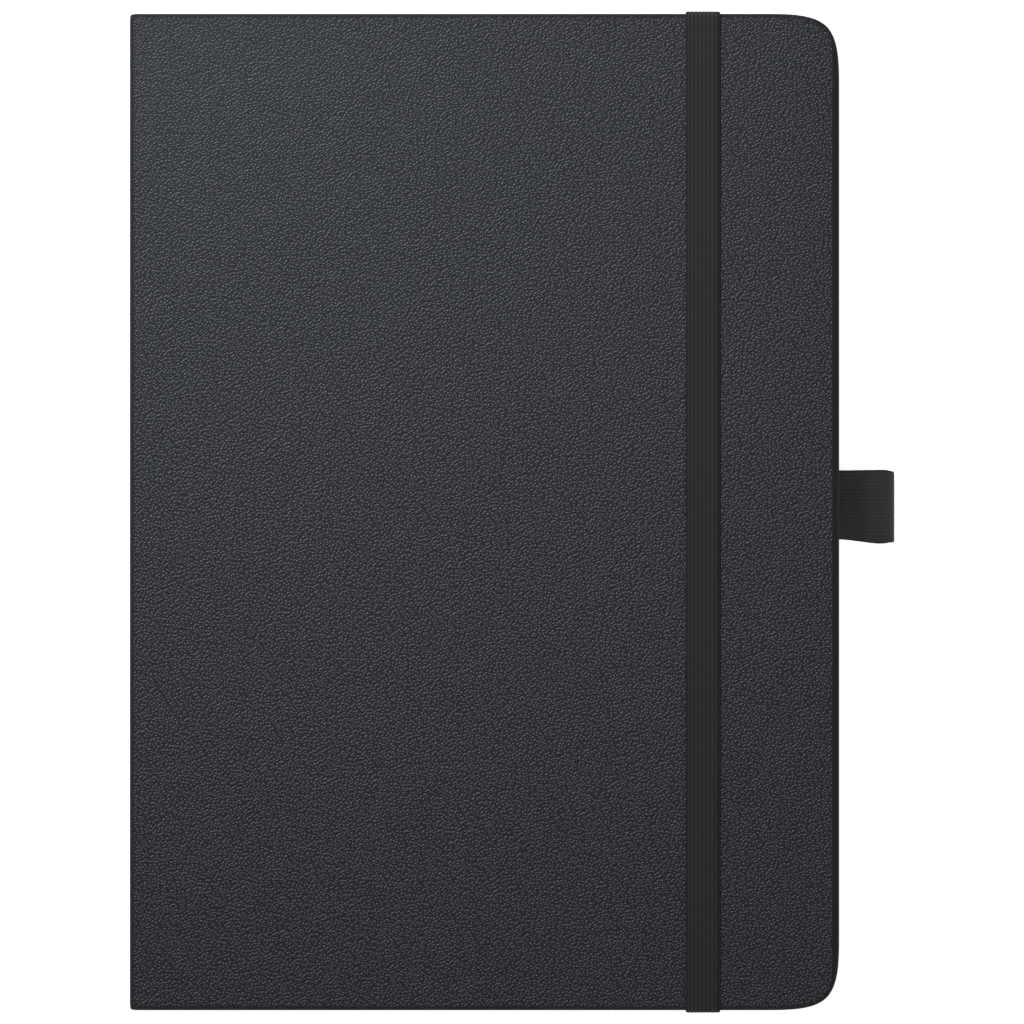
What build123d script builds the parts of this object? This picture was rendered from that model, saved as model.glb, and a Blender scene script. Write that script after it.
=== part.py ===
from build123d import *
import os

# A5 hardcover sketchbook with an elastic closure band and a pen loop, lying closed on its back cover.
# Units are millimetres. X runs from the spine to the fore edge, Y from the tail to the head, Z upwards.
# The origin is on the underside, in the middle of the whole outline, pen loop included.

# ---------------------------------------------------------------- driving dimensions
COVER_WIDTH = 149.5  # from the outside of the spine to the fore edge
COVER_HEIGHT = 210.0
FORE_CORNER_RADIUS = 9.0
SPINE_CORNER_RADIUS = 1.6
COVER_EDGE_RADIUS = 1.0

BOARD_THICKNESS = 1.8
WRAP_THICKNESS = 0.4
PASTEDOWN_THICKNESS = 0.2
TURN_IN = 15.0
PASTEDOWN_MARGIN = 3.0
JOINT_GROOVE = 0.3  # between each cover and the spine panel
SPINE_STRIP_THICKNESS = 1.0
SPINE_EDGE_RADIUS = 0.9
SPINE_TURN_IN = 12.0
HOLLOW = 0.1  # air between the spine panel and the spine of the leaves

LEAF_THICKNESS = 0.2
LEAF_GAP = 0.04  # air between two leaves, or between a leaf and what it lies on
LEAVES_PER_SECTION = 8
SECTION_COUNT = 6
HEAD_SQUARE = 3.0  # how far the covers stand past the leaves at the head and tail
FORE_SQUARE = 3.5
GUTTER = 5.0  # strip of each turning leaf beside the fold, which bends

BAND_WIDTH = 7.2
BAND_THICKNESS = 0.6
BAND_FROM_SPINE = 120.8
BAND_TAB_LENGTH = 20.0
BAND_CLEARANCE = 0.02
BAND_RISE = 0.9  # how far the glued ends stand up past the back cover

LOOP_WIDTH = 15.4
LOOP_THICKNESS = 0.7
LOOP_INNER_RADIUS = 3.25
LOOP_REACH = 11.9
LOOP_ABOVE_MIDDLE = 1.2
LOOP_ABOVE_BASE = 0.3
LOOP_TAB_LENGTH = 15.0

LINING_THICKNESS = 0.2
MULL_THICKNESS = 0.3
THREAD_RADIUS = 0.25
THREAD_STATIONS = 5
HEADBAND_RADIUS = 0.8
HEADBAND_TAPE = 10.0

# ---------------------------------------------------------------- derived places
SPINE_X = -(COVER_WIDTH + LOOP_REACH) / 2
FORE_X = SPINE_X + COVER_WIDTH
HEAD_Y = COVER_HEIGHT / 2
COVER_STACK = 2 * WRAP_THICKNESS + BOARD_THICKNESS  # covering, board, turned-in covering
COVER_THICKNESS = COVER_STACK + PASTEDOWN_THICKNESS
JOINT_RADIUS = COVER_THICKNESS / 2
LEAF_PITCH = LEAF_THICKNESS + LEAF_GAP
SECTION_PITCH = LEAVES_PER_SECTION * LEAF_PITCH
SECTION_THICKNESS = SECTION_PITCH - LEAF_GAP
BACK_FLYLEAF_Z = COVER_THICKNESS + LEAF_GAP
SECTIONS_Z = BACK_FLYLEAF_Z + LEAF_PITCH
FRONT_FLYLEAF_Z = SECTIONS_Z + SECTION_COUNT * SECTION_PITCH
FRONT_COVER_Z = FRONT_FLYLEAF_Z + LEAF_PITCH
BOOK_THICKNESS = FRONT_COVER_Z + COVER_THICKNESS

JOINT_X = SPINE_X + JOINT_RADIUS  # the front cover turns about the middle of its rolled joint
JOINT_Z = BOOK_THICKNESS - JOINT_RADIUS
PASTEDOWN_X = JOINT_X + JOINT_RADIUS + 0.1
PANEL_X = SPINE_X + WRAP_THICKNESS + SPINE_STRIP_THICKNESS
PANEL_Z = COVER_THICKNESS + JOINT_GROOVE
LINING_X = PANEL_X + WRAP_THICKNESS + HOLLOW
MULL_X = LINING_X + LINING_THICKNESS
THREAD_X = MULL_X + MULL_THICKNESS
FOLDS_X = THREAD_X + 2 * THREAD_RADIUS
FOLD_CENTRE_X = FOLDS_X + SECTION_THICKNESS / 2  # the leaves turn about a line above this
TURNING_X = FOLD_CENTRE_X + GUTTER
LEAF_FORE_X = FORE_X - FORE_SQUARE
LEAF_HEAD_Y = HEAD_Y - HEAD_SQUARE
FIRST_SECTION_Z = SECTIONS_Z + (SECTION_COUNT - 1) * SECTION_PITCH
SECTIONS_TOP_Z = FIRST_SECTION_Z + SECTION_THICKNESS
BAND_X = SPINE_X + BAND_FROM_SPINE
BAND_TAB_Z = COVER_STACK - BAND_THICKNESS
BAND_SPLIT_Z = COVER_STACK + BAND_RISE
LOOP_CENTRE_X = FORE_X + LOOP_REACH - LOOP_INNER_RADIUS - LOOP_THICKNESS
LOOP_CENTRE_Z = LOOP_ABOVE_BASE + LOOP_INNER_RADIUS + LOOP_THICKNESS


def slab(x0, x1, y0, y1, z0, z1):
    """A box given by its two ends along each axis."""
    middle = Pos((x0 + x1) / 2, (y0 + y1) / 2, (z0 + z1) / 2)
    return middle * Box(x1 - x0, y1 - y0, z1 - z0)


def plate(x0, x1, half_y, z0, z1, fore_radius, spine_radius=0):
    """A flat plate with rounded fore-edge corners and, if asked, rounded spine corners."""
    sheet = slab(x0, x1, -half_y, half_y, z0, z1)
    corners = sheet.edges().filter_by(Axis.Z).group_by(Axis.X)
    sheet = fillet(corners[-1], fore_radius)
    if spine_radius:
        sheet = fillet(sheet.edges().filter_by(Axis.Z).group_by(Axis.X)[0], spine_radius)
    return sheet


def across(outline, half_y):
    """An outline drawn in X and Z, carried along Y from the tail to the head."""
    upright = Plane(origin=(0, half_y, 0), x_dir=(1, 0, 0), z_dir=(0, -1, 0))
    return extrude(upright * outline, amount=2 * half_y)


def turned_over(shape):
    """The same shape on the other cover: the covers are mirror images about the book's middle."""
    return mirror(shape, about=Plane.XY.offset(BOOK_THICKNESS / 2))


# ---------------------------------------------------------------- covers
def board():
    """Grey board of the front cover, with its outer edges eased."""
    outer_z = BOOK_THICKNESS - WRAP_THICKNESS
    solid = plate(
        JOINT_X,
        FORE_X - WRAP_THICKNESS,
        HEAD_Y - WRAP_THICKNESS,
        outer_z - BOARD_THICKNESS,
        outer_z,
        FORE_CORNER_RADIUS - WRAP_THICKNESS,
    )
    outer_edges = solid.faces().sort_by(Axis.Z)[-1].edges()
    return fillet(outer_edges.sort_by(Axis.X)[1:], COVER_EDGE_RADIUS / 2)


def infill_card():
    """Card inside the front board that brings it level with the turned-in covering."""
    outer_z = BOOK_THICKNESS - WRAP_THICKNESS - BOARD_THICKNESS
    half_y = HEAD_Y - TURN_IN
    return slab(PASTEDOWN_X, FORE_X - TURN_IN, -half_y, half_y, outer_z - WRAP_THICKNESS, outer_z)


def cover_wrap():
    """Leatherette on the front cover: outer face, edges, turn-ins and the rolled joint at the spine."""
    inner_z = BOOK_THICKNESS - COVER_THICKNESS
    envelope = plate(
        SPINE_X, FORE_X, HEAD_Y, inner_z, BOOK_THICKNESS, FORE_CORNER_RADIUS, SPINE_CORNER_RADIUS
    )
    outer_edges = envelope.faces().sort_by(Axis.Z)[-1].edges().sort_by(Axis.X)
    envelope = fillet(outer_edges[1:], COVER_EDGE_RADIUS)
    profile = Pos(JOINT_X, JOINT_Z) * Circle(JOINT_RADIUS)
    length = FORE_X - JOINT_X + 1
    profile += Pos(JOINT_X + length / 2, JOINT_Z) * Rectangle(length, COVER_THICKNESS)
    rolled = envelope & across(profile, HEAD_Y + 1)
    room = slab(
        PASTEDOWN_X, FORE_X + 1, -HEAD_Y - 1, HEAD_Y + 1, inner_z - 1, inner_z + PASTEDOWN_THICKNESS
    )
    return rolled - room - board() - infill_card()


def pastedown():
    """Endpaper half that is glued down inside the front cover."""
    inner_z = BOOK_THICKNESS - COVER_THICKNESS
    return plate(
        PASTEDOWN_X,
        FORE_X - PASTEDOWN_MARGIN,
        HEAD_Y - PASTEDOWN_MARGIN,
        inner_z,
        inner_z + PASTEDOWN_THICKNESS,
        FORE_CORNER_RADIUS - PASTEDOWN_MARGIN,
    )


def spine_strip():
    """Stiff card strip inside the spine covering."""
    return slab(
        SPINE_X + WRAP_THICKNESS,
        PANEL_X,
        WRAP_THICKNESS - HEAD_Y,
        HEAD_Y - WRAP_THICKNESS,
        PANEL_Z + WRAP_THICKNESS,
        BOOK_THICKNESS - PANEL_Z - WRAP_THICKNESS,
    )


def back_and_spine_wrap():
    """Leatherette on the back cover, carried through the fixed rear joint and over the spine strip."""
    panel = slab(SPINE_X, PANEL_X, -HEAD_Y, HEAD_Y, PANEL_Z, BOOK_THICKNESS - PANEL_Z)
    panel = fillet(panel.faces().sort_by(Axis.X)[0].edges(), SPINE_EDGE_RADIUS)
    for side in (1, -1):
        ends = sorted((side * (HEAD_Y - SPINE_TURN_IN), side * (HEAD_Y - SPINE_EDGE_RADIUS)))
        panel += slab(
            PANEL_X, PANEL_X + WRAP_THICKNESS, *ends, PANEL_Z, BOOK_THICKNESS - PANEL_Z
        )
    joint_y = HEAD_Y - SPINE_CORNER_RADIUS
    joint = slab(
        JOINT_X - 0.4, PANEL_X, -joint_y, joint_y, JOINT_RADIUS, PANEL_Z + WRAP_THICKNESS
    )
    return turned_over(cover_wrap()) + (joint + panel - spine_strip())


# ---------------------------------------------------------------- leaves and sections
def leaf(spine_x, z0):
    """One flat leaf of drawing paper, from near the fold to the fore edge."""
    return slab(spine_x, LEAF_FORE_X, -LEAF_HEAD_Y, LEAF_HEAD_Y, z0, z0 + LEAF_THICKNESS)


def section(bottom_z):
    """A sewn section: four folded sheets pressed together, rounded where they fold at the spine."""
    block = slab(
        FOLDS_X, LEAF_FORE_X, -LEAF_HEAD_Y, LEAF_HEAD_Y, bottom_z, bottom_z + SECTION_THICKNESS
    )
    folds = block.edges().filter_by(Axis.Y).group_by(Axis.X)[0]
    return fillet(folds, SECTION_THICKNESS * 0.46)


def first_section():
    """The first section without the front leaves that turn: only their folded ends are left."""
    middle_z = FIRST_SECTION_Z + SECTION_THICKNESS / 2
    turning = slab(
        TURNING_X - LEAF_GAP, FORE_X, -HEAD_Y, HEAD_Y, middle_z + LEAF_GAP / 2, BOOK_THICKNESS
    )
    return section(FIRST_SECTION_Z) - turning


def turning_leaf(number):
    """A front leaf of the first section, numbered from the front cover."""
    return leaf(TURNING_X, SECTIONS_TOP_Z - (number - 1) * LEAF_PITCH - LEAF_THICKNESS)


def endpaper_joint():
    """Strip of the front flyleaf that is glued along the fold of the first section."""
    return slab(
        FOLD_CENTRE_X,
        TURNING_X - LEAF_GAP,
        -LEAF_HEAD_Y,
        LEAF_HEAD_Y,
        SECTIONS_TOP_Z,
        FRONT_FLYLEAF_Z + LEAF_THICKNESS,
    )


# ---------------------------------------------------------------- spine of the leaves
def spine_panel(x0, thickness, half_y):
    """A thin strip on the back of the folds, as tall as all the sections together."""
    return slab(x0, x0 + thickness, -half_y, half_y, SECTIONS_Z, SECTIONS_TOP_Z)


def rod(x, y, radius):
    """An upright rod as tall as all the sections together."""
    height = SECTIONS_TOP_Z - SECTIONS_Z
    foot = (Align.CENTER, Align.CENTER, Align.MIN)
    return Pos(x, y, SECTIONS_Z) * Cylinder(radius, height, align=foot)


def sewing_thread():
    """Thread down the back of the folds at each sewing station."""
    first_y = 16.0 - LEAF_HEAD_Y
    spacing = -2 * first_y / (THREAD_STATIONS - 1)
    return [
        rod(THREAD_X + THREAD_RADIUS, first_y + station * spacing, THREAD_RADIUS)
        for station in range(THREAD_STATIONS)
    ]


def headband(side):
    """Woven bead across the end of the folds, with its tape on the back of them."""
    bead_y = side * (LEAF_HEAD_Y + HEADBAND_RADIUS)
    bead = rod(THREAD_X + HEADBAND_RADIUS, bead_y, HEADBAND_RADIUS)
    ends = sorted((side * (LEAF_HEAD_Y - HEADBAND_TAPE), bead_y))
    return bead + slab(MULL_X, THREAD_X + 0.01, *ends, SECTIONS_Z, SECTIONS_TOP_Z)


# ---------------------------------------------------------------- elastic
def band_outline(inset):
    """Arch over the front half of the book, seen along X, drawn inwards by inset."""
    half_y = HEAD_Y + BAND_CLEARANCE + BAND_THICKNESS - inset
    top_z = BOOK_THICKNESS + BAND_CLEARANCE + BAND_THICKNESS - inset
    height = top_z - BAND_SPLIT_Z - BAND_CLEARANCE
    block = slab(
        BAND_X - BAND_WIDTH / 2,
        BAND_X + BAND_WIDTH / 2,
        -half_y,
        half_y,
        top_z - height,
        top_z,
    )
    shoulders = block.edges().filter_by(Axis.X).group_by(Axis.Z)[-1]
    return fillet(shoulders, COVER_EDGE_RADIUS + BAND_THICKNESS - inset)


def closure_band():
    """Elastic webbing over the front cover and down past its head and tail edges."""
    return band_outline(0) - band_outline(BAND_THICKNESS)


def band_end(side):
    """Glued end of the closure band: a tab under the back endpaper, turned up at the edge."""
    x0 = BAND_X - BAND_WIDTH / 2
    x1 = BAND_X + BAND_WIDTH / 2
    edge_y = HEAD_Y + BAND_CLEARANCE
    outer_y = edge_y + BAND_THICKNESS
    tab_ends = sorted((side * (HEAD_Y - BAND_TAB_LENGTH), side * outer_y))
    riser_ends = sorted((side * edge_y, side * outer_y))
    bent = slab(x0, x1, *tab_ends, BAND_TAB_Z, COVER_STACK)
    bent += slab(x0, x1, *riser_ends, BAND_TAB_Z, BAND_SPLIT_Z)
    lower_edges = bent.edges().filter_by(Axis.X).group_by(Axis.Z)[0].sort_by(Axis.Y)
    return fillet(lower_edges[-1 if side > 0 else 0], BAND_THICKNESS * 0.8)


def teardrop(inset):
    """Side view of a strip folded into a loop and pinched at the cover, drawn inwards by inset."""
    round_radius = LOOP_INNER_RADIUS + LOOP_THICKNESS - inset
    neck_radius = LOOP_THICKNESS * 1.05 - inset
    neck = Pos(FORE_X + 0.6 + inset, COVER_STACK - LOOP_THICKNESS)
    arcs = [
        (Pos(LOOP_CENTRE_X, LOOP_CENTRE_Z) * Circle(round_radius)).edge(),
        (neck * Circle(neck_radius)).edge(),
    ]
    return make_hull(arcs)


def pen_loop():
    """Elastic webbing folded into a loop, both tails glued inside the back cover at the fore edge."""
    ring = across(teardrop(0), LOOP_WIDTH / 2) - across(teardrop(LOOP_THICKNESS), LOOP_WIDTH)
    tails = slab(
        FORE_X - LOOP_TAB_LENGTH,
        FORE_X + LOOP_THICKNESS,
        -LOOP_WIDTH / 2,
        LOOP_WIDTH / 2,
        COVER_STACK - 2 * LOOP_THICKNESS,
        COVER_STACK,
    )
    return Pos(0, LOOP_ABOVE_MIDDLE, 0) * (ring + tails)


def elastic_room():
    """Room inside the back cover for the glued ends of the band and of the pen loop."""
    rooms = [
        slab(
            FORE_X - LOOP_TAB_LENGTH,
            FORE_X + 1,
            LOOP_ABOVE_MIDDLE - LOOP_WIDTH / 2,
            LOOP_ABOVE_MIDDLE + LOOP_WIDTH / 2,
            COVER_STACK - 2 * LOOP_THICKNESS,
            COVER_STACK,
        )
    ]
    for side in (1, -1):
        ends = sorted((side * (HEAD_Y - BAND_TAB_LENGTH), side * (HEAD_Y + 1)))
        rooms.append(
            slab(BAND_X - BAND_WIDTH / 2, BAND_X + BAND_WIDTH / 2, *ends, BAND_TAB_Z, COVER_STACK)
        )
    return rooms


# ---------------------------------------------------------------- all the pieces
def pieces():
    """Every node of the sketchbook, by name."""
    room = elastic_room()
    made = {
        "front_board": board(),
        "front_infill_card": infill_card(),
        "front_cover_wrap": cover_wrap(),
        "front_pastedown": pastedown(),
        "spine_strip": spine_strip(),
        "back_board": turned_over(board()) - room,
        "back_infill_card": turned_over(infill_card()) - room,
        "back_and_spine_wrap": back_and_spine_wrap() - room,
        "back_pastedown": turned_over(pastedown()),
        "back_flyleaf": leaf(FOLD_CENTRE_X, BACK_FLYLEAF_Z),
        "front_flyleaf": leaf(TURNING_X, FRONT_FLYLEAF_Z),
        "endpaper_joint": endpaper_joint(),
        "section_1": first_section(),
        "sewing_thread": sewing_thread(),
        "mull_cloth": spine_panel(MULL_X, MULL_THICKNESS, LEAF_HEAD_Y - HEADBAND_TAPE),
        "spine_lining": spine_panel(LINING_X, LINING_THICKNESS, LEAF_HEAD_Y - 1.0),
        "headband_head": headband(1),
        "headband_tail": headband(-1),
        "closure_band": closure_band(),
        "closure_band_ends": [band_end(1), band_end(-1)],
        "pen_loop": pen_loop(),
    }
    for number in range(2, SECTION_COUNT + 1):
        made[f"section_{number}"] = section(SECTIONS_Z + (SECTION_COUNT - number) * SECTION_PITCH)
    for number in range(1, LEAVES_PER_SECTION // 2 + 1):
        made[f"turning_leaf_{number}"] = turning_leaf(number)
    return made


os.makedirs("parts", exist_ok=True)
for name, made in pieces().items():
    solids = made if isinstance(made, list) else made.solids()
    whole = solids[0] if len(solids) == 1 else Compound(children=list(solids))
    export_step(whole, f"parts/{name}.step")
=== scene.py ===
import math
import random

import bmesh
import bpy
from mathutils import Matrix, Vector, noise
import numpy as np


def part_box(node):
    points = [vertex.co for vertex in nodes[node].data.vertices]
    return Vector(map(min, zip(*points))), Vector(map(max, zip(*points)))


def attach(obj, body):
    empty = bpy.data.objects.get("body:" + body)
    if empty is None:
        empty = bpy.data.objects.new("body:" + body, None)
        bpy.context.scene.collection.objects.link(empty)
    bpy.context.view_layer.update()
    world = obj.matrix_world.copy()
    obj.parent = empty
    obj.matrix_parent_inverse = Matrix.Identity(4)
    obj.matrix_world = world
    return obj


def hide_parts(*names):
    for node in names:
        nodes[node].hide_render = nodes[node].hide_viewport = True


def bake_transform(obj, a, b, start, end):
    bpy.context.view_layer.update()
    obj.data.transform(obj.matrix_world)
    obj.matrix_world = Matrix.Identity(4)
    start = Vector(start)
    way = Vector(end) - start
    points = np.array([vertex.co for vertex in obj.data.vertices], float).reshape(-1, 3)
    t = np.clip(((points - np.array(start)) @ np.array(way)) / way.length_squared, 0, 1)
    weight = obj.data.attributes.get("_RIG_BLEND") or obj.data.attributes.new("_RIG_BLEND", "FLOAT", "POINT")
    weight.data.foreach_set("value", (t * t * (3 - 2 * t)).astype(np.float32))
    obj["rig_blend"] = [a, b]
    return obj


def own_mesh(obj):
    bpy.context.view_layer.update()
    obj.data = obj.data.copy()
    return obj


MM = 0.001

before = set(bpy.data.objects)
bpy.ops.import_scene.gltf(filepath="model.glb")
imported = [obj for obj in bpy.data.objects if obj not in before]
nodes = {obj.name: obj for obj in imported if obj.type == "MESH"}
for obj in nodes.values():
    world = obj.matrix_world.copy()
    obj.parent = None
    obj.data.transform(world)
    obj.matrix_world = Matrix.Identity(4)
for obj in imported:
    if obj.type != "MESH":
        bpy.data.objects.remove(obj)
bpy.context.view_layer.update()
random.seed(11)

# ---------------------------------------------------------------- places, read from the solids
cover_low, cover_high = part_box("front_cover_wrap")
paste_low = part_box("back_pastedown")[0]
strip_low, strip_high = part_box("spine_strip")
band_low, band_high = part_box("closure_band")
loop_low, loop_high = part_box("pen_loop")
last_low, last_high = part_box("section_6")
mull_low, mull_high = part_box("mull_cloth")
flyleaf_low, flyleaf_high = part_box("front_flyleaf")

SPINE_X = cover_low.x
FORE_X = cover_high.x
HEAD_Y = cover_high.y
TOP_Z = cover_high.z
COVER_STACK = paste_low.z
LEAF = flyleaf_high.z - flyleaf_low.z
LEAF_PITCH = 0.24 * MM  # a leaf and the air between it and the next
SECTION_THICKNESS = last_high.z - last_low.z
FOLDS_X = last_low.x
FOLD_CENTRE_X = FOLDS_X + SECTION_THICKNESS / 2
LEAF_FORE_X = last_high.x
LEAF_HEAD_Y = last_high.y
ROOT = "back_cover_and_block"


# ---------------------------------------------------------------- colours and nodes
def colour(code):
    """An sRGB hex colour as linear red, green, blue and alpha."""
    channels = [int(code[i : i + 2], 16) / 255 for i in (0, 2, 4)]
    linear = [c / 12.92 if c <= 0.04045 else ((c + 0.055) / 1.055) ** 2.4 for c in channels]
    return (*linear, 1.0)


def add(tree, kind, inputs=None, **settings):
    """Adds a node, sets its options, and links or sets its inputs."""
    node = tree.nodes.new(kind)
    for name, value in settings.items():
        setattr(node, name, value)
    for name, value in (inputs or {}).items():
        if isinstance(value, bpy.types.NodeSocket):
            tree.links.new(value, node.inputs[name])
        else:
            node.inputs[name].default_value = value
    return node


def new_material(name):
    """An empty material with its shader, ready for its nodes."""
    material = bpy.data.materials.new(name)
    material.use_nodes = True
    tree = material.node_tree
    return material, tree, tree.nodes["Principled BSDF"]


# Polyurethane leatherette, cast and embossed with a fine pebble grain: matt black, a little cool,
# with a painted highlight, a pale colour painted along one flank of each slanting pebble.
GRAIN = 0.5 * MM  # from one pebble to the next, across the slant
FORE_STRIP = 1.5 * MM  # the smooth strip along the fore-edge
EMBOSSED = 0.11 * MM  # depth of the grain


def leatherette():
    material, tree, shader = new_material("embossed polyurethane leatherette")
    place = add(tree, "ShaderNodeTexCoord").outputs["Object"]
    axes = add(tree, "ShaderNodeSeparateXYZ", {0: place})
    # Adding the height to both directions lets one flat pattern run over the edges.
    over_x = add(tree, "ShaderNodeMath", {0: axes.outputs["X"], 1: axes.outputs["Z"]})
    over_y = add(tree, "ShaderNodeMath", {0: axes.outputs["Y"], 1: axes.outputs["Z"]})
    sheet = add(tree, "ShaderNodeCombineXYZ", {"X": over_x.outputs[0], "Y": over_y.outputs[0]})
    wander = add(
        tree, "ShaderNodeTexNoise", {"Vector": place, "Scale": 0.3 / GRAIN, "Detail": 2.0}
    )
    shift = add(
        tree,
        "ShaderNodeVectorMath",
        {0: wander.outputs["Color"], 1: (GRAIN, GRAIN, 0)},
        operation="MULTIPLY",
    )
    bent = add(
        tree, "ShaderNodeVectorMath", {0: sheet.outputs[0], 1: shift.outputs[0]}, operation="ADD"
    )
    slant = add(
        tree,
        "ShaderNodeMapping",
        {"Vector": bent.outputs[0], "Rotation": (0, 0, math.radians(31)), "Scale": (1.5, 1, 1)},
        vector_type="TEXTURE",
    )
    pebbles = add(
        tree,
        "ShaderNodeTexVoronoi",
        {"Vector": slant.outputs[0], "Scale": 1 / GRAIN, "Randomness": 0.8},
        voronoi_dimensions="2D",
    )
    stepped_up = add(
        tree,
        "ShaderNodeVectorMath",
        {0: slant.outputs[0], 1: (0.0, 0.4 * GRAIN, 0.0)},
        operation="ADD",
    )
    uphill = add(
        tree,
        "ShaderNodeTexVoronoi",
        {"Vector": stepped_up.outputs[0], "Scale": 1 / GRAIN, "Randomness": 0.8},
        voronoi_dimensions="2D",
    )
    fine = add(
        tree,
        "ShaderNodeTexNoise",
        {"Vector": slant.outputs[0], "Scale": 1.6 / GRAIN, "Detail": 1.5, "Roughness": 0.6},
    )
    crown = add(
        tree,
        "ShaderNodeMapRange",
        {"Value": pebbles.outputs["Distance"], 1: 0.08, 2: 0.62, 3: 1.0, 4: 0.0},
    )
    height = add(
        tree,
        "ShaderNodeMath",
        {0: fine.outputs[0], 1: 0.3, 2: crown.outputs[0]},
        operation="MULTIPLY_ADD",
    )
    # The covering is drawn tight over the head, tail and fore-edge, which presses the grain smooth.
    turned = add(tree, "ShaderNodeTexCoord").outputs["Normal"]
    facing = add(tree, "ShaderNodeSeparateXYZ", {0: turned})
    side_on = [
        add(tree, "ShaderNodeMath", {0: facing.outputs[axis]}, operation="ABSOLUTE").outputs[0]
        for axis in ("X", "Z")
    ]
    flat = add(tree, "ShaderNodeMath", {0: side_on[0], 1: side_on[1]}, operation="MAXIMUM")
    ends = add(tree, "ShaderNodeMapRange", {"Value": flat.outputs[0], 1: 0.5, 2: 0.8, 3: 0.1, 4: 1.0})
    fold_x = FORE_X - FORE_STRIP
    strip = add(
        tree,
        "ShaderNodeMapRange",
        {"Value": axes.outputs["X"], 1: fold_x - 0.1 * MM, 2: fold_x + 0.1 * MM, 3: 1.0, 4: 0.06},
    )
    tight = add(
        tree, "ShaderNodeMath", {0: ends.outputs[0], 1: strip.outputs[0]}, operation="MULTIPLY"
    )
    relief = add(
        tree,
        "ShaderNodeBump",
        {"Height": height.outputs[0], "Strength": tight.outputs[0], "Distance": EMBOSSED},
    )
    # A painted highlight lies on the flank of each pebble that faces the spine and the head, as if the
    # light came from there: the same pebbles, taken a step that way, are subtracted from themselves.
    lee = add(
        tree,
        "ShaderNodeMapRange",
        {"Value": uphill.outputs["Distance"], 1: 0.08, 2: 0.62, 3: 0.8, 4: 0.0},
    )
    flank = add(
        tree, "ShaderNodeMath", {0: height.outputs[0], 1: lee.outputs[0]}, operation="SUBTRACT"
    )
    crest = add(tree, "ShaderNodeMapRange", {"Value": flank.outputs[0], 1: 0.41, 2: 1.06})
    painted_glint = add(
        tree, "ShaderNodeMath", {0: crest.outputs[0], 1: tight.outputs[0]}, operation="MULTIPLY"
    )
    painted_glint_colour = add(
        tree,
        "ShaderNodeMixRGB",
        {"Fac": painted_glint.outputs[0], "Color1": colour("15181a"), "Color2": colour("73757b")},
    )
    rough = add(
        tree, "ShaderNodeMapRange", {"Value": painted_glint.outputs[0], 1: 0.0, 2: 1.0, 3: 0.62, 4: 0.42}
    )
    # The turned edges carry no painted highlight and are duller; their flat darker colour is painted shade.
    rounded = add(
        tree, "ShaderNodeMapRange", {"Value": side_on[1], 1: 0.85, 2: 0.998, 3: 0.0, 4: 1.0}
    )
    upright = add(
        tree, "ShaderNodeMapRange", {"Value": side_on[0], 1: 0.97, 2: 0.999, 3: 0.0, 4: 1.0}
    )
    level = add(
        tree, "ShaderNodeMath", {0: rounded.outputs[0], 1: upright.outputs[0]}, operation="MAXIMUM"
    )
    spared = add(
        tree, "ShaderNodeMath", {0: level.outputs[0], 1: strip.outputs[0]}, operation="MULTIPLY"
    )
    turned_edge = add(tree, "ShaderNodeMath", {0: 1.0, 1: spared.outputs[0]}, operation="SUBTRACT")
    dull = add(
        tree,
        "ShaderNodeMath",
        {0: turned_edge.outputs[0], 1: 0.3, 2: rough.outputs[0]},
        operation="MULTIPLY_ADD",
    )
    # Painted shade: the turned edges take one flat dark colour in place of the grain's colours.
    painted_edge_shade = add(
        tree,
        "ShaderNodeMixRGB",
        {"Fac": turned_edge.outputs[0], "Color1": painted_glint_colour.outputs[0], "Color2": colour("1b1d1f")},
    )
    tree.links.new(painted_edge_shade.outputs[0], shader.inputs["Base Color"])
    tree.links.new(dull.outputs[0], shader.inputs["Roughness"])
    tree.links.new(relief.outputs[0], shader.inputs["Normal"])
    shader.inputs["IOR"].default_value = 1.5
    shader.inputs["Specular IOR Level"].default_value = 0.42
    shader.inputs["Specular Tint"].default_value = colour("f4f8ff")
    return material


NECK_LIGHT_FADE = 7 * MM  # over which the painted light at the neck of a strap fades out
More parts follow.
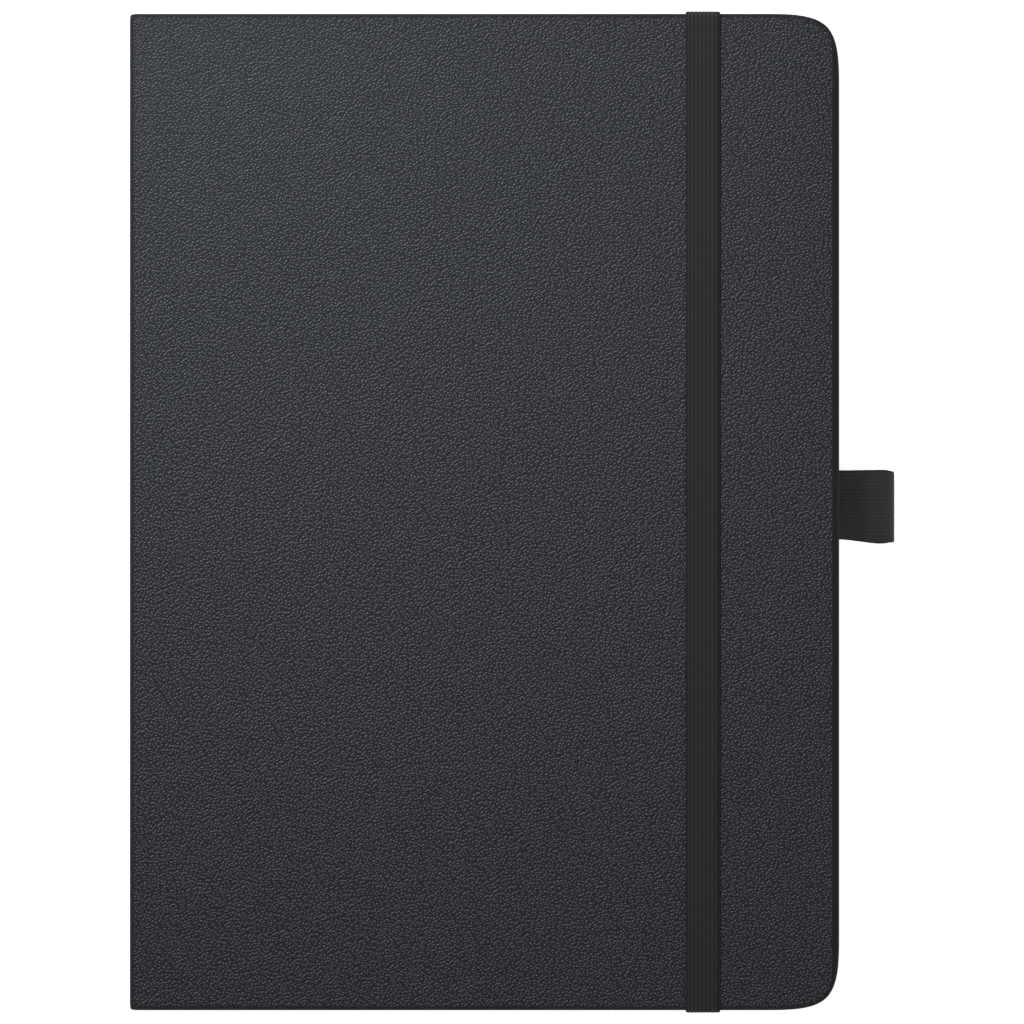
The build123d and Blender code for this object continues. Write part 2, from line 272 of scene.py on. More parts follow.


# Elastic webbing, warp-knitted over rubber cores: matt, dark, ribbed along its length, with small
# chevron stitches on each rib and a smoother edge; painted shade darkens its rib valleys and stitch hollows.
def webbing(name, rib, stitch, show, base, high, neck=1.0):
    material, tree, shader = new_material(name)
    across = add(tree, "ShaderNodeAttribute", attribute_name="across").outputs["Fac"]
    along = add(tree, "ShaderNodeAttribute", attribute_name="along").outputs["Fac"]
    edge = add(tree, "ShaderNodeAttribute", attribute_name="edge").outputs["Fac"]
    ribs = add(tree, "ShaderNodeMath", {0: across, 1: rib}, operation="DIVIDE")
    wobble = add(
        tree,
        "ShaderNodeTexNoise",
        {"Vector": add(tree, "ShaderNodeTexCoord").outputs["Object"], "Scale": 900.0, "Detail": 2.0},
    )
    in_rib = add(tree, "ShaderNodeMath", {0: ribs.outputs[0], 1: 0.5}, operation="PINGPONG")
    slanted = add(tree, "ShaderNodeMath", {0: in_rib.outputs[0], 1: 0.5, 2: along}, operation="MULTIPLY_ADD")
    stepped = add(tree, "ShaderNodeMath", {0: slanted.outputs[0], 1: stitch / 2}, operation="PINGPONG")
    ridge = add(tree, "ShaderNodeMapRange", {"Value": stepped.outputs[0], 1: 0.0, 2: stitch / 2})
    knit = add(
        tree, "ShaderNodeMath", {0: wobble.outputs[0], 1: 0.5, 2: ridge.outputs[0]}, operation="MULTIPLY_ADD"
    )
    plain = add(tree, "ShaderNodeMapRange", {"Value": edge, 1: 0.0, 2: 1.0, 3: 1.0, 4: 0.25})
    relief = add(
        tree,
        "ShaderNodeBump",
        {"Height": knit.outputs[0], "Strength": plain.outputs[0], "Distance": 0.11 * MM},
    )
    # Painted shade: the colour darkens in the valleys between the ribs and in the low parts of the stitches.
    rib_valley_shade = add(tree, "ShaderNodeMapRange", {"Value": in_rib.outputs[0], 1: 0.06, 2: 0.32})
    stitches = add(
        tree, "ShaderNodeMapRange", {"Value": knit.outputs[0], 1: 0.3, 2: 1.2, 3: show, 4: 1.0}
    )
    painted_knit_shade = add(
        tree, "ShaderNodeMath", {0: stitches.outputs[0], 1: rib_valley_shade.outputs[0]}, operation="MULTIPLY"
    )
    yarn = add(
        tree,
        "ShaderNodeMixRGB",
        {"Fac": painted_knit_shade.outputs[0], "Color1": colour(base), "Color2": colour(high)},
    )
    shade = add(
        tree,
        "ShaderNodeMixRGB",
        {"Fac": edge, "Color1": yarn.outputs[0], "Color2": colour("242425")},
    )
    # Painted light: the colour is brightened at the neck, beside the fore edge, by this many times, against
    # the shadow that the front cover casts there.
    place = add(tree, "ShaderNodeTexCoord").outputs["Object"]
    reach = add(tree, "ShaderNodeSeparateXYZ", {0: place})
    painted_neck_light = add(
        tree,
        "ShaderNodeMapRange",
        {"Value": reach.outputs["X"], 1: FORE_X, 2: FORE_X + NECK_LIGHT_FADE, 3: neck, 4: 1.0},
    )
    neck_lightened_colour = add(
        tree,
        "ShaderNodeVectorMath",
        {0: shade.outputs[0], "Scale": painted_neck_light.outputs[0]},
        operation="SCALE",
    )
    tree.links.new(neck_lightened_colour.outputs[0], shader.inputs["Base Color"])
    tree.links.new(relief.outputs[0], shader.inputs["Normal"])
    shader.inputs["Roughness"].default_value = 0.85
    shader.inputs["Specular IOR Level"].default_value = 0.2
    shader.inputs["Sheen Weight"].default_value = 0.03
    shader.inputs["Sheen Roughness"].default_value = 0.4
    return material


# Uncoated drawing paper: warm white, quite matt, with faint fibre clouding and a slight tooth.
def paper(name, light, dark):
    material, tree, shader = new_material(name)
    place = add(tree, "ShaderNodeTexCoord").outputs["Object"]
    clouds = add(tree, "ShaderNodeTexNoise", {"Vector": place, "Scale": 260.0, "Detail": 5.0})
    tooth = add(tree, "ShaderNodeTexNoise", {"Vector": place, "Scale": 2600.0, "Detail": 3.0})
    tint = add(
        tree,
        "ShaderNodeMixRGB",
        {"Fac": clouds.outputs[0], "Color1": colour(dark), "Color2": colour(light)},
    )
    relief = add(
        tree, "ShaderNodeBump", {"Height": tooth.outputs[0], "Strength": 0.5, "Distance": 0.02 * MM}
    )
    tree.links.new(tint.outputs[0], shader.inputs["Base Color"])
    tree.links.new(relief.outputs[0], shader.inputs["Normal"])
    shader.inputs["Roughness"].default_value = 0.9
    return material


# Grey board, pressed from recycled pulp: dull grey-brown with darker and lighter flecks.
def grey_board():
    material, tree, shader = new_material("pressed grey board")
    place = add(tree, "ShaderNodeTexCoord").outputs["Object"]
    pulp = add(tree, "ShaderNodeTexNoise", {"Vector": place, "Scale": 420.0, "Detail": 6.0})
    flecks = add(tree, "ShaderNodeTexVoronoi", {"Vector": place, "Scale": 700.0})
    spots = add(tree, "ShaderNodeMapRange", {"Value": flecks.outputs["Distance"], 1: 0.05, 2: 0.25})
    body = add(
        tree,
        "ShaderNodeMixRGB",
        {"Fac": pulp.outputs[0], "Color1": colour("77736b"), "Color2": colour("a09b91")},
    )
    speckled = add(
        tree,
        "ShaderNodeMixRGB",
        {"Fac": spots.outputs[0], "Color1": colour("5d5850"), "Color2": body.outputs[0]},
    )
    relief = add(
        tree, "ShaderNodeBump", {"Height": pulp.outputs[0], "Strength": 0.6, "Distance": 0.05 * MM}
    )
    tree.links.new(speckled.outputs[0], shader.inputs["Base Color"])
    tree.links.new(relief.outputs[0], shader.inputs["Normal"])
    shader.inputs["Roughness"].default_value = 0.95
    return material


# Mull, an open cotton weave: pale threads 0.5 mm apart with glue between them.
def mull():
    material, tree, shader = new_material("open-weave cotton mull")
    place = add(tree, "ShaderNodeTexCoord").outputs["Object"]
    threads = []
    for axis in ("Y", "Z"):
        wave = add(
            tree,
            "ShaderNodeTexWave",
            {"Vector": place, "Scale": math.pi / (10 * 0.5 * MM), "Distortion": 0.6},
            bands_direction=axis,
        )
        threads.append(wave.outputs["Fac"])
    weave = add(tree, "ShaderNodeMath", {0: threads[0], 1: threads[1]}, operation="MAXIMUM")
    cloth = add(
        tree,
        "ShaderNodeMixRGB",
        {"Fac": weave.outputs[0], "Color1": colour("a89c80"), "Color2": colour("e6e0cf")},
    )
    relief = add(
        tree, "ShaderNodeBump", {"Height": weave.outputs[0], "Strength": 0.8, "Distance": 0.1 * MM}
    )
    tree.links.new(cloth.outputs[0], shader.inputs["Base Color"])
    tree.links.new(relief.outputs[0], shader.inputs["Normal"])
    shader.inputs["Roughness"].default_value = 0.9
    return material


# Twisted linen and woven silk: fine slanting strands with a soft sheen.
def twisted(name, light, dark, pitch, sheen):
    material, tree, shader = new_material(name)
    place = add(tree, "ShaderNodeTexCoord").outputs["Object"]
    strands = add(
        tree,
        "ShaderNodeTexWave",
        {"Vector": place, "Scale": math.pi / pitch / 10, "Distortion": 0.8, "Detail": 1.0},
        bands_direction="DIAGONAL",
    )
    dye = add(
        tree,
        "ShaderNodeMixRGB",
        {"Fac": strands.outputs["Fac"], "Color1": colour(dark), "Color2": colour(light)},
    )
    relief = add(
        tree, "ShaderNodeBump", {"Height": strands.outputs["Fac"], "Strength": 0.7, "Distance": 0.06 * MM}
    )
    tree.links.new(dye.outputs[0], shader.inputs["Base Color"])
    tree.links.new(relief.outputs[0], shader.inputs["Normal"])
    shader.inputs["Roughness"].default_value = 0.7
    shader.inputs["Sheen Weight"].default_value = sheen
    return material


LEATHERETTE = leatherette()
BAND_RIB = 0.85  # mm from rib to rib
LOOP_RIB = 0.75
BAND_WEBBING = webbing("knitted elastic webbing of the band", BAND_RIB, 0.5, 0.35, "262626", "3f3f40")
# The pen loop's neck carries painted light, brightened 1.9 times against the front cover's shadow.
LOOP_WEBBING = webbing(
    "knitted elastic webbing of the pen loop", LOOP_RIB, 0.5, 0.80, "333334", "3f3f40", neck=1.9
)
DRAWING_PAPER = paper("uncoated drawing paper", "f3f0e6", "e9e5d9")
ENDPAPER = paper("smooth ivory endpaper", "efebdf", "e4dfd0")
LINING_PAPER = paper("brown kraft lining paper", "b08d62", "93724b")
BOARD = grey_board()
MULL = mull()
THREAD = twisted("twisted linen thread", "eee7d4", "b9ae93", 0.35 * MM, 0.1)
HEADBAND = twisted("woven headband silk", "3a3a3d", "161618", 0.5 * MM, 0.4)


# ---------------------------------------------------------------- making pieces
def finish_piece(bm, name, material, body, replaced=(), smooth=True):
    """Turns a bmesh in the row frame into a piece that rides on a body."""
    bmesh.ops.recalc_face_normals(bm, faces=bm.faces)
    mesh = bpy.data.meshes.new(name)
    bm.to_mesh(mesh)
    bm.free()
    piece = bpy.data.objects.new(name, mesh)
    bpy.context.scene.collection.objects.link(piece)
    mesh.materials.append(material)
    if smooth:
        mesh.shade_smooth()
        mesh.set_sharp_from_angle(angle=math.radians(35))
    if body:
        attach(piece, body)
    if replaced:
        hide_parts(*replaced)
    return piece


def block(bm, low, high):
    """A box between two corners; its vertices are returned."""
    made = bmesh.ops.create_cube(bm, size=1.0)["verts"]
    low, high = Vector(low), Vector(high)
    bmesh.ops.scale(bm, verts=made, vec=high - low)
    bmesh.ops.translate(bm, verts=made, vec=(low + high) / 2)
    return made


def round_edges(bm, edges, radius, segments):
    """Rounds edges by a radius."""
    bmesh.ops.bevel(
        bm,
        geom=list(edges),
        offset=radius,
        offset_type="OFFSET",
        segments=segments,
        profile=0.5,
        affect="EDGES",
        clamp_overlap=False,
        material=-1,
    )


def runs_along(edge, axis):
    direction = (edge.verts[1].co - edge.verts[0].co).normalized()
    return abs(direction[axis]) > 0.999


def middle_of(edge):
    return (edge.verts[0].co + edge.verts[1].co) / 2


CORNER = 15.8 * MM  # how far from a fore-edge corner the outline begins to turn
RIM = 1.25 * MM  # rounding of the covered rims
SPINE_ROUND = 0.55 * MM
SPINE_TURN_IN = 12 * MM


def soft_corners(bm, fore_x, head_y):
    """Rounds the fore-edge corners so that they ease in and out of their curve, as a spline does."""
    round_edges(bm, [e for e in bm.edges if runs_along(e, 2) and middle_of(e).x > 0], CORNER, 28)
    for v in bm.verts:
        out_x = v.co.x - (fore_x - CORNER)
        out_y = abs(v.co.y) - (head_y - CORNER)
        if out_x < 0 or out_y < 0:
            continue
        share = math.atan2(out_y, out_x) / (math.pi / 4)
        near = min(share, 2 - share)
        across = near**3 / 6
        along = (2 * (1 - near) ** 3 + 3 * near**3 - 6 * near**2 + 4) / 6
        from_fore, from_end = (across, along) if share < 1 else (along, across)
        v.co.x = fore_x - CORNER * from_fore
        v.co.y = math.copysign(head_y - CORNER * from_end, v.co.y)


def padded_cover(low_z, high_z):
    """A covered board: rolled at the spine, rounded fore-edge corners and softly rounded rims."""
    bm = bmesh.new()
    block(bm, (SPINE_X, -HEAD_Y, low_z), (FORE_X, HEAD_Y, high_z))
    rolled = [e for e in bm.edges if runs_along(e, 1) and middle_of(e).x < 0]
    round_edges(bm, rolled, (high_z - low_z) / 2 * 0.999, 7)
    soft_corners(bm, FORE_X, HEAD_Y)
    bm.normal_update()
    walls = {f for f in bm.faces if abs(f.normal.z) < 1e-3 and f.normal.x > -0.5}
    rims = [e for e in bm.edges if len([f for f in e.link_faces if f in walls]) == 1]
    round_edges(bm, rims, RIM, 6)
    return bm


def spine_bar(bm):
    """The covered spine strip, a bar with rounded edges, and its turned-in ends."""
    low = (SPINE_X, -HEAD_Y, strip_low.z - 0.4 * MM)
    high = (strip_high.x, HEAD_Y, strip_high.z + 0.4 * MM)
    made = block(bm, low, high)
    edges = {e for v in made for e in v.link_edges}
    round_edges(bm, edges, SPINE_ROUND, 4)
    for side in (1, -1):
        ends = sorted((side * (HEAD_Y - SPINE_TURN_IN), side * (HEAD_Y - 0.6 * MM)))
        block(
            bm,
            (strip_high.x - 0.1 * MM, ends[0], strip_low.z),
            (strip_high.x + 0.4 * MM, ends[1], strip_high.z),
        )


def board_core(node, body):
    """The grey board inside a cover, cut with the same corners and with its edges a little crushed."""
    low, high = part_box(node)
    bm = bmesh.new()
    block(bm, low, high)
    soft_corners(bm, high.x, high.y)
    bm.normal_update()
    rims = [e for e in bm.edges if {abs(f.normal.z) > 0.5 for f in e.link_faces} == {True, False}]
    round_edges(bm, rims, 0.25 * MM, 2)
    finish_piece(bm, f"{node}_core", BOARD, body, [node])


board_core("front_board", "front_cover")
board_core("back_board", ROOT)

front = padded_cover(TOP_Z - COVER_STACK, TOP_Z)
finish_piece(front, "front_covering", LEATHERETTE, "front_cover", ["front_cover_wrap"])

back = padded_cover(0.0, COVER_STACK)
spine_bar(back)
# The leatherette of the fixed rear joint, at the bottom of the groove.
block(
    back,
    (SPINE_X + SPINE_ROUND, -HEAD_Y + 1.2 * MM, COVER_STACK / 2),
    (strip_high.x, HEAD_Y - 1.2 * MM, strip_low.z),
)
finish_piece(back, "back_and_spine_covering", LEATHERETTE, ROOT, ["back_and_spine_wrap"])


# ---------------------------------------------------------------- leaves
def leaf_edge(bm, x, z):
    """The end of a leaf: one edge along Y, a little long or short as a trimmed leaf is."""
    tail = bm.verts.new((x, -LEAF_HEAD_Y + random.uniform(0, 0.09) * MM, z))
    head = bm.verts.new((x, LEAF_HEAD_Y - random.uniform(0, 0.09) * MM, z))
    return bm.edges.new((tail, head))


def carry(bm, edge, dx):
    """Carries an edge along X, leaving a face behind it."""
    made = bmesh.ops.extrude_edge_only(bm, edges=[edge])["geom"]
    verts = [g for g in made if isinstance(g, bmesh.types.BMVert)]
    bmesh.ops.translate(bm, verts=verts, vec=(dx, 0, 0))
    return next(g for g in made if isinstance(g, bmesh.types.BMEdge) and set(g.verts) == set(verts))


def thicken(bm):
    """Gives sheets of no thickness the thickness of paper, half to each side."""
    bmesh.ops.recalc_face_normals(bm, faces=bm.faces)
    bm.normal_update()
    for v in bm.verts:
        v.co += v.normal * LEAF / 2
    bmesh.ops.solidify(bm, geom=list(bm.faces), thickness=LEAF)


def folded_sheets(bottom_z, whole=True):
    """Four sheets folded round each other. Without its front leaves a section ends at its folds."""
    section = bmesh.new()
    for nesting in range(4):
        sheet = bmesh.new()
        radius = SECTION_THICKNESS / 2 - nesting * LEAF_PITCH - LEAF / 2
        middle_z = bottom_z + SECTION_THICKNESS / 2
        fore_x = LEAF_FORE_X - random.uniform(0, 0.12) * MM
        edge = leaf_edge(sheet, fore_x, middle_z - radius)
        edge = carry(sheet, edge, FOLD_CENTRE_X - fore_x)
        bent = bmesh.ops.spin(
            sheet,
            geom=[edge],
            cent=(FOLD_CENTRE_X, 0, middle_z),
            axis=(0, 1, 0),
            dvec=(0, 0, 0),
            angle=math.pi,
            steps=8,
            use_duplicate=False,
        )["geom_last"]
        edge = next(g for g in bent if isinstance(g, bmesh.types.BMEdge))
        if whole:
            carry(sheet, edge, LEAF_FORE_X - random.uniform(0, 0.12) * MM - FOLD_CENTRE_X)
        thicken(sheet)
        mesh = bpy.data.meshes.new("sheet")
        sheet.to_mesh(mesh)
        sheet.free()
        section.from_mesh(mesh)
        bpy.data.meshes.remove(mesh)
    return section


for number in range(1, 7):
    node = f"section_{number}"
    low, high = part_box(node)
    sheets = folded_sheets(low.z, whole=number > 1)
    finish_piece(sheets, f"folded_sheets_{number}", DRAWING_PAPER, ROOT, [node])

BEND = 8 * MM  # the strip beside the fold that bends when a leaf turns


def turning_leaf(name, z, body, replaced, material):
    """A leaf that bends beside its fold and follows its body beyond that."""
    bm = bmesh.new()
    edge = leaf_edge(bm, FOLD_CENTRE_X, z)
    steps = 18
    for step in range(steps):
        edge = carry(bm, edge, BEND / steps)
    carry(bm, edge, LEAF_FORE_X - random.uniform(0, 0.12) * MM - FOLD_CENTRE_X - BEND)
    thicken(bm)
    leaf = finish_piece(bm, name, material, None, replaced)
    start = (FOLD_CENTRE_X, 0, z)
    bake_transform(leaf, ROOT, body, start=start, end=(FOLD_CENTRE_X + BEND, 0, z))


turning_leaf(
    "front_flyleaf_sheet",
    (flyleaf_low.z + flyleaf_high.z) / 2,
    "front_flyleaf_leaf",
    ["front_flyleaf", "endpaper_joint"],
    ENDPAPER,
)
for number in range(1, 5):
    node = f"turning_leaf_{number}"
    low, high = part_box(node)
    turning_leaf(f"drawing_leaf_{number}", (low.z + high.z) / 2, f"leaf_{number}", [node], DRAWING_PAPER)


# ---------------------------------------------------------------- webbing
def rib_ring(bm, width, thickness, rib, depth, plain_low, plain_high, fineness=8):
    """A closed outline of ribbed webbing across X and Z, centred on the origin, with its positions."""
    count = max(8, round(width / rib * fineness))
    across_key = bm.verts.layers.float.get("across") or bm.verts.layers.float.new("across")
    edge_key = bm.verts.layers.float.get("edge") or bm.verts.layers.float.new("edge")
    bm.verts.layers.float.get("along") or bm.verts.layers.float.new("along")
    places = []
    for face in (1, -1):
        for i in range(count + 1):
            x = -width / 2 + width * i / count
            plain = x < -width / 2 + plain_low or x > width / 2 - plain_high
            rise = 0.35 if plain else abs(math.sin(math.pi * (x + width / 2) / rib)) ** 0.8
            end = min(x + width / 2, width / 2 - x) / (0.35 * thickness)
            round_off = math.sqrt(max(0.0, 1 - (1 - min(1.0, end)) ** 2))
            z = face * (thickness / 2 - depth * (1 - rise)) * max(0.25, round_off)
            places.append((x * face, z, x, 1.0 if plain else 0.0))
    verts = []
    for x, z, _, plain in places:
        vert = bm.verts.new((x, 0, z))
        vert[across_key] = (x + width / 2) / MM
        vert[edge_key] = plain
        verts.append(vert)
    return [bm.edges.new((verts[i - 1], verts[i])) for i in range(len(verts))]


class Strip:
    """A strip of webbing laid step by step: it runs straight on and turns about its own width."""

    def __init__(self, bm, ring, to_start, heading, sideways):
        self.bm, self.ring = bm, ring
        self.heading, self.sideways = Vector(heading), Vector(sideways)
        verts = {v for e in ring for v in e.verts}
        bmesh.ops.transform(bm, matrix=to_start, verts=list(verts))
        self.centre = to_start.translation.copy()
        self.first = list(ring)

    def _extend(self):
        along = self.bm.verts.layers.float["along"]
        made = bmesh.ops.extrude_edge_only(self.bm, edges=self.ring)["geom"]
        verts = [g for g in made if isinstance(g, bmesh.types.BMVert)]
        inside = set(verts)
        edges = [g for g in made if isinstance(g, bmesh.types.BMEdge)]
        self.ring = [e for e in edges if e.verts[0] in inside and e.verts[1] in inside]
        return verts, along

    def run(self, length, steps=1):
        for _ in range(steps):
            verts, along = self._extend()
            step = self.heading * (length / steps)
            bmesh.ops.translate(self.bm, verts=verts, vec=step)
            self.centre += step
            for v in verts:
                v[along] += length / steps / MM

    def turn(self, radius, angle, steps):
        """Turns towards heading x sideways for a positive angle."""
        side = self.heading.cross(self.sideways).normalized() * (1 if angle > 0 else -1)
        pivot = self.centre + side * radius
        axis = self.heading.cross(side).normalized()
        part = Matrix.Rotation(abs(angle) / steps, 3, axis)
        for _ in range(steps):
            verts, along = self._extend()
            bmesh.ops.rotate(self.bm, verts=verts, cent=pivot, matrix=part)
            self.centre = pivot + part @ (self.centre - pivot)
            self.heading = part @ self.heading
            for v in verts:
                v[along] += abs(angle) * radius / steps / MM

    def close(self):
        bmesh.ops.contextual_create(self.bm, geom=self.first)
        bmesh.ops.contextual_create(self.bm, geom=self.ring)


def placed(x_axis, y_axis, z_axis, origin):
    """The matrix that takes the outline's X, Y and Z to these directions at this origin."""
    turned = Matrix((x_axis, y_axis, z_axis)).transposed().to_4x4()
    turned.translation = origin
    return turned


# Closure band: up the tail edge, over the cover and down the head edge.
BAND_X = (band_low.x + band_high.x) / 2
BAND_WIDTH = band_high.x - band_low.x
BAND_THICKNESS = 0.5 * MM  # stretched, so a little thinner than at rest
BAND_TOP = TOP_Z + 0.04 * MM + BAND_THICKNESS / 2
BAND_SIDE = HEAD_Y + 0.02 * MM + BAND_THICKNESS / 2
SHOULDER = 1.3 * MM  # bend where it turns down the edges

band = bmesh.new()
ring = rib_ring(band, BAND_WIDTH, BAND_THICKNESS, BAND_RIB * MM, 0.07 * MM, 0.4 * MM, 0.8 * MM)
start = placed((1, 0, 0), (0, 0, 1), (0, -1, 0), (BAND_X, -BAND_SIDE, band_low.z))
strip = Strip(band, ring, start, (0, 0, 1), (1, 0, 0))
strip.run(BAND_TOP - SHOULDER - band_low.z, 6)
strip.turn(SHOULDER, math.pi / 2, 8)
strip.run(2 * (BAND_SIDE - SHOULDER), 60)
strip.turn(SHOULDER, math.pi / 2, 8)
strip.run(BAND_TOP - SHOULDER - band_low.z, 6)
strip.close()
band_piece = finish_piece(band, "closure_band_webbing", BAND_WEBBING, "band", ["closure_band"])
anchor_z = 3.5 * MM
reach = TOP_Z + 0.02 * MM - anchor_z
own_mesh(band_piece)

# Its glued ends: out from under the back endpaper and up the head and tail edges.
TAB = 14 * MM  # from the inner end of a tab to the edge of the cover
TAB_BEND = 0.4 * MM
ends = bmesh.new()
for side in (1, -1):
    ring = rib_ring(ends, BAND_WIDTH * 0.98, 0.5 * MM, BAND_RIB * MM, 0.08 * MM, 0.0, 1.0 * MM)
    start = placed((1, 0, 0), (0, side, 0), (0, 0, side), (BAND_X, side * (HEAD_Y - TAB), 2.40 * MM))
    strip = Strip(ends, ring, start, (0, side, 0), (1, 0, 0))
    strip.run(TAB - 0.27 * MM - TAB_BEND, 8)
    strip.turn(TAB_BEND, -side * math.pi / 2, 6)
    strip.run(3.5 * MM - strip.centre.z, 1)
    strip.close()
finish_piece(ends, "closure_band_end_tabs", BAND_WEBBING, ROOT, ["closure_band_ends"])

# Pen loop: both tails come out from under the endpaper and the strip runs round between them.
LOOP_THICKNESS = 0.7 * MM
TAIL = 9 * MM  # length of each glued tail
LOOP_Y = (loop_low.y + loop_high.y) / 2
LOOP_WIDTH = loop_high.y - loop_low.y
ROUND = (loop_high.z - loop_low.z) / 2 - LOOP_THICKNESS / 2
ROUND_X = loop_high.x - LOOP_THICKNESS / 2 - ROUND
ROUND_Z = (loop_high.z + loop_low.z) / 2


def tangent(x, z, upper):
    """Heading and length of the straight run from a point to the round of the loop."""
    dx, dz = ROUND_X - x, ROUND_Z - z
    far = math.hypot(dx, dz)
    swing = math.asin(ROUND / far) * (1 if upper else -1)
    return math.atan2(dz, dx) + swing, math.sqrt(far * far - ROUND * ROUND)


neck_x = FORE_X + 0.2 * MM
low_z, high_z = COVER_STACK - 1.02 * MM, COVER_STACK - 0.30 * MM
low_turn, low_run = tangent(neck_x, low_z, False)
high_turn, high_run = tangent(neck_x, high_z, True)


def eased(value):
    """Rises smoothly from 0 to 1 as the value does."""
    value = max(0.0, min(1.0, value))
    return value * value * (3 - 2 * value)


loop = bmesh.new()
ring = rib_ring(loop, LOOP_WIDTH, LOOP_THICKNESS, LOOP_RIB * MM, 0.06 * MM, 0.3 * MM, 0.3 * MM, 7)
start = placed((0, 1, 0), (1, 0, 0), (0, 0, -1), (neck_x - TAIL, LOOP_Y, low_z))
strip = Strip(loop, ring, start, (1, 0, 0), (0, 1, 0))
strip.run(TAIL, 6)
strip.turn(2 * MM, low_turn, 2)
strip.run(low_run, 5)
strip.turn(ROUND, high_turn + math.pi - low_turn, 44)
strip.run(high_run, 5)
strip.turn(0.6 * MM, -high_turn, 6)
strip.run(TAIL, 6)
strip.close()
# The strip is drawn in at the neck, most on the tail side of the book, and at the round.
# Its ribs wander a little.
LOOP_REACH = loop_high.x - FORE_X
reach = max(v.co.x for v in loop.verts) - FORE_X
for v in loop.verts:
    if v.co.x > FORE_X:
        v.co.x = FORE_X + (v.co.x - FORE_X) * LOOP_REACH / reach
    out = (v.co.x - FORE_X) / LOOP_REACH
    side = (v.co.y - LOOP_Y) / (LOOP_WIDTH / 2)
    flare = eased(out / 0.75)
    width = 0.95 + 0.04 * side + (0.06 - 0.05 * side) * flare - 0.035 * eased(out * 5 - 4)
    v.co.y = LOOP_Y + (v.co.y - LOOP_Y) * width + noise.noise(v.co * 420) * 0.06 * MM
finish_piece(loop, "pen_loop_webbing", LOOP_WEBBING, ROOT, ["pen_loop"])


# ---------------------------------------------------------------- headbands and sewing
def headband(side, node):
    """A woven bead across the ends of the folds, ribbed like wound silk, on its tape."""
    low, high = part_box(node)
    radius = 0.8 * MM
    bm = bmesh.new()
    centre = Vector((high.x - radius, side * (LEAF_HEAD_Y + radius), low.z))
    rings = 46
    made = bmesh.ops.create_circle(bm, cap_ends=False, radius=radius, segments=16)["verts"]
    bmesh.ops.translate(bm, verts=made, vec=centre)
    ring = [e for e in bm.edges]
    first = list(ring)
    for step in range(rings):
        geom = bmesh.ops.extrude_edge_only(bm, edges=ring)["geom"]
        verts = [g for g in geom if isinstance(g, bmesh.types.BMVert)]
        ring = [g for g in geom if isinstance(g, bmesh.types.BMEdge) and set(g.verts) <= set(verts)]
        bmesh.ops.translate(bm, verts=verts, vec=(0, 0, (high.z - low.z) / rings))
    bmesh.ops.contextual_create(bm, geom=first)
    bmesh.ops.contextual_create(bm, geom=ring)
    for v in bm.verts:
        out = Vector((v.co.x - centre.x, v.co.y - centre.y, 0))
        angle = math.atan2(out.y, out.x)
        wound = 1 - 0.09 * (1 + math.sin(2 * math.pi * (v.co.z / (0.75 * MM)) + angle))
        v.co.x = centre.x + out.x * wound
        v.co.y = centre.y + out.y * wound
    ends = sorted((side * (LEAF_HEAD_Y - 10 * MM), side * LEAF_HEAD_Y))
    block(bm, (mull_low.x, ends[0], low.z), (mull_high.x, ends[1], high.z))
    finish_piece(bm, f"{node}_woven", HEADBAND, ROOT, [node])


headband(1, "headband_head")
headband(-1, "headband_tail")

# Sewing: stitches down the back of the folds, and along the middle fold of the first section.
thread_low, thread_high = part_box("sewing_thread")
sewing = bmesh.new()
middle_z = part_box("turning_leaf_4")[0].z - 0.02 * MM
spacing = (thread_high.y - thread_low.y - 0.5 * MM) / 4
for station in range(5):
    y = thread_low.y + 0.25 * MM + station * spacing
    made = bmesh.ops.create_cone(
        sewing,
        cap_ends=True,
        segments=10,
        radius1=0.25 * MM,
        radius2=0.25 * MM,
        depth=thread_high.z - thread_low.z,
    )["verts"]
    middle = ((thread_low.x + thread_high.x) / 2, y, (thread_low.z + thread_high.z) / 2)
    bmesh.ops.translate(sewing, verts=made, vec=middle)
finish_piece(sewing, "sewing_stitches", THREAD, ROOT, ["sewing_thread"])

fold = bmesh.new()
for station in range(4):
    made = bmesh.ops.create_cone(
        fold,
        cap_ends=True,
        segments=10,
        radius1=0.15 * MM,
        radius2=0.15 * MM,
        depth=spacing * 0.94,
    )["verts"]
    bmesh.ops.rotate(fold, verts=made, cent=(0, 0, 0), matrix=Matrix.Rotation(math.pi / 2, 3, "X"))
    y = thread_low.y + 0.25 * MM + (station + 0.5) * spacing
    bmesh.ops.translate(fold, verts=made, vec=(FOLD_CENTRE_X - 0.02 * MM, y, middle_z))
finish_piece(fold, "middle_fold_stitches", THREAD, ROOT)

# ---------------------------------------------------------------- finishes of the carried-over solids
FINISHES = {
    "front_infill_card": BOARD,
    "back_infill_card": BOARD,
    "spine_strip": BOARD,
    "front_pastedown": ENDPAPER,
    "back_pastedown": ENDPAPER,
    "back_flyleaf": ENDPAPER,
    "spine_lining": LINING_PAPER,
    "mull_cloth": MULL,
}
for node, material in FINISHES.items():
    nodes[node].data.materials.clear()
    nodes[node].data.materials.append(material)

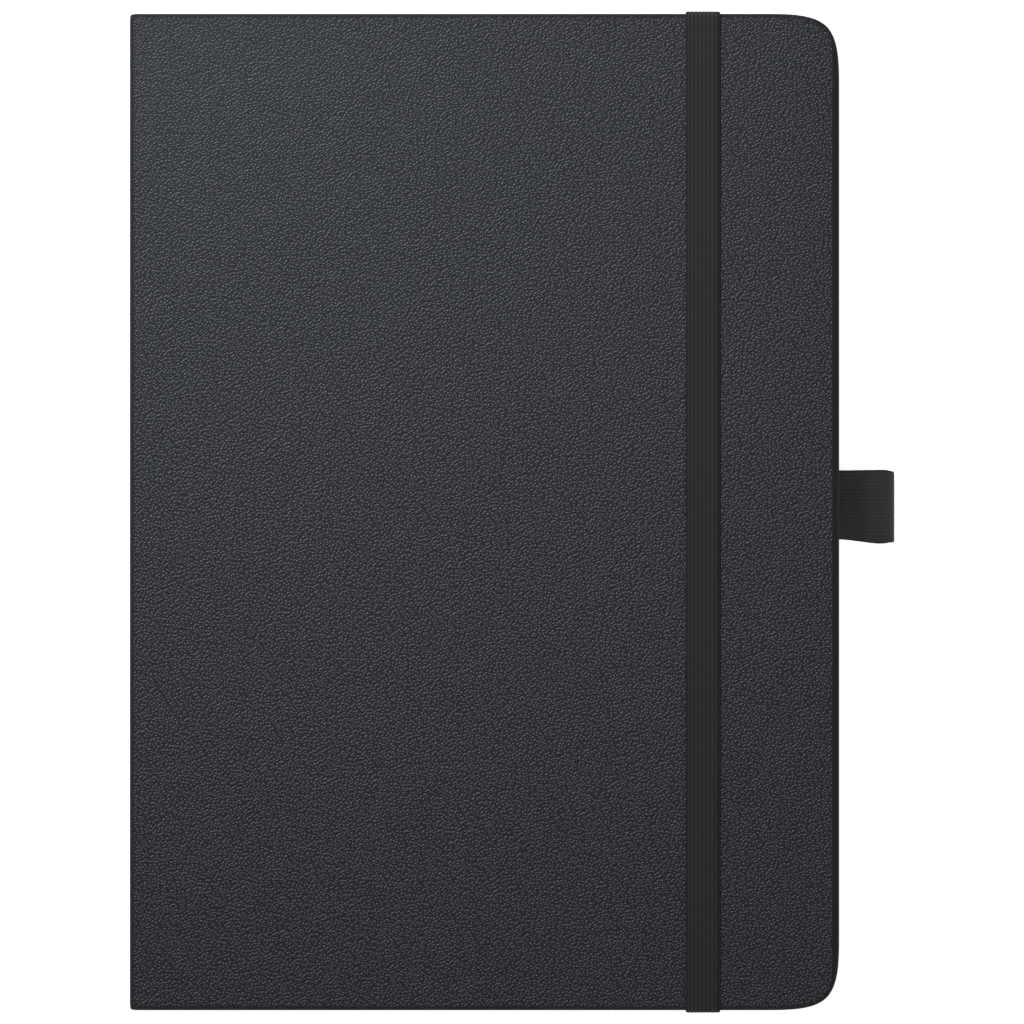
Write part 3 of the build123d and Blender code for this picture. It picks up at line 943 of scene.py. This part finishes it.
# ---------------------------------------------------------------- floor, lights and camera
floor_bm = bmesh.new()
bmesh.ops.create_grid(floor_bm, x_segments=1, y_segments=1, size=4.0)
bmesh.ops.translate(floor_bm, verts=floor_bm.verts, vec=(0, 0, -0.2 * MM))
floor_mesh = bpy.data.meshes.new("floor")
floor_bm.to_mesh(floor_mesh)
floor_bm.free()
floor = bpy.data.objects.new("floor", floor_mesh)
bpy.context.scene.collection.objects.link(floor)
floor_material, _, floor_shader = new_material("matt white studio floor")
floor_shader.inputs["Base Color"].default_value = colour("f4f4f4")
floor_shader.inputs["Roughness"].default_value = 0.9
# The floor is a light table: it glows, which all but removes the shadows round the object.
floor_shader.inputs["Emission Color"].default_value = colour("ffffff")
floor_shader.inputs["Emission Strength"].default_value = 0.8
floor_mesh.materials.append(floor_material)


def softbox(name, place, aim, size, power):
    """A square soft light aimed at a point."""
    light = bpy.data.lights.new(name, "AREA")
    light.shape = "SQUARE"
    light.size = size
    light.energy = power
    lamp = bpy.data.objects.new(name, light)
    bpy.context.scene.collection.objects.link(lamp)
    lamp.location = place
    lamp.rotation_euler = (Vector(aim) - Vector(place)).to_track_quat("-Z", "Y").to_euler()
    lamp.visible_camera = False


softbox("key softbox", (-0.14, 0.21, 0.30), (-0.08, 0.12, 0.0), 0.18, 0.91)
softbox("fill softbox", (0.15, -0.15, 1.2), (0.0, 0.0, 0.0), 0.8, 2.6)

world = bpy.data.worlds.new("pale studio")
bpy.context.scene.world = world
world.use_nodes = True
world.node_tree.nodes["Background"].inputs["Color"].default_value = colour("fafbff")
world.node_tree.nodes["Background"].inputs["Strength"].default_value = 0.25

camera_data = bpy.data.cameras.new("camera")
camera_data.sensor_width = 36.0
camera_data.lens = 600.0
camera = bpy.data.objects.new("camera", camera_data)
bpy.context.scene.collection.objects.link(camera)
FIELD = 215.74 * MM  # width that the picture takes in at the height of the front cover
camera.location = (SPINE_X + 80.54 * MM, 0.0, TOP_Z + FIELD * camera_data.lens / camera_data.sensor_width)
bpy.context.scene.camera = camera
bpy.context.scene.view_settings.view_transform = "Standard"
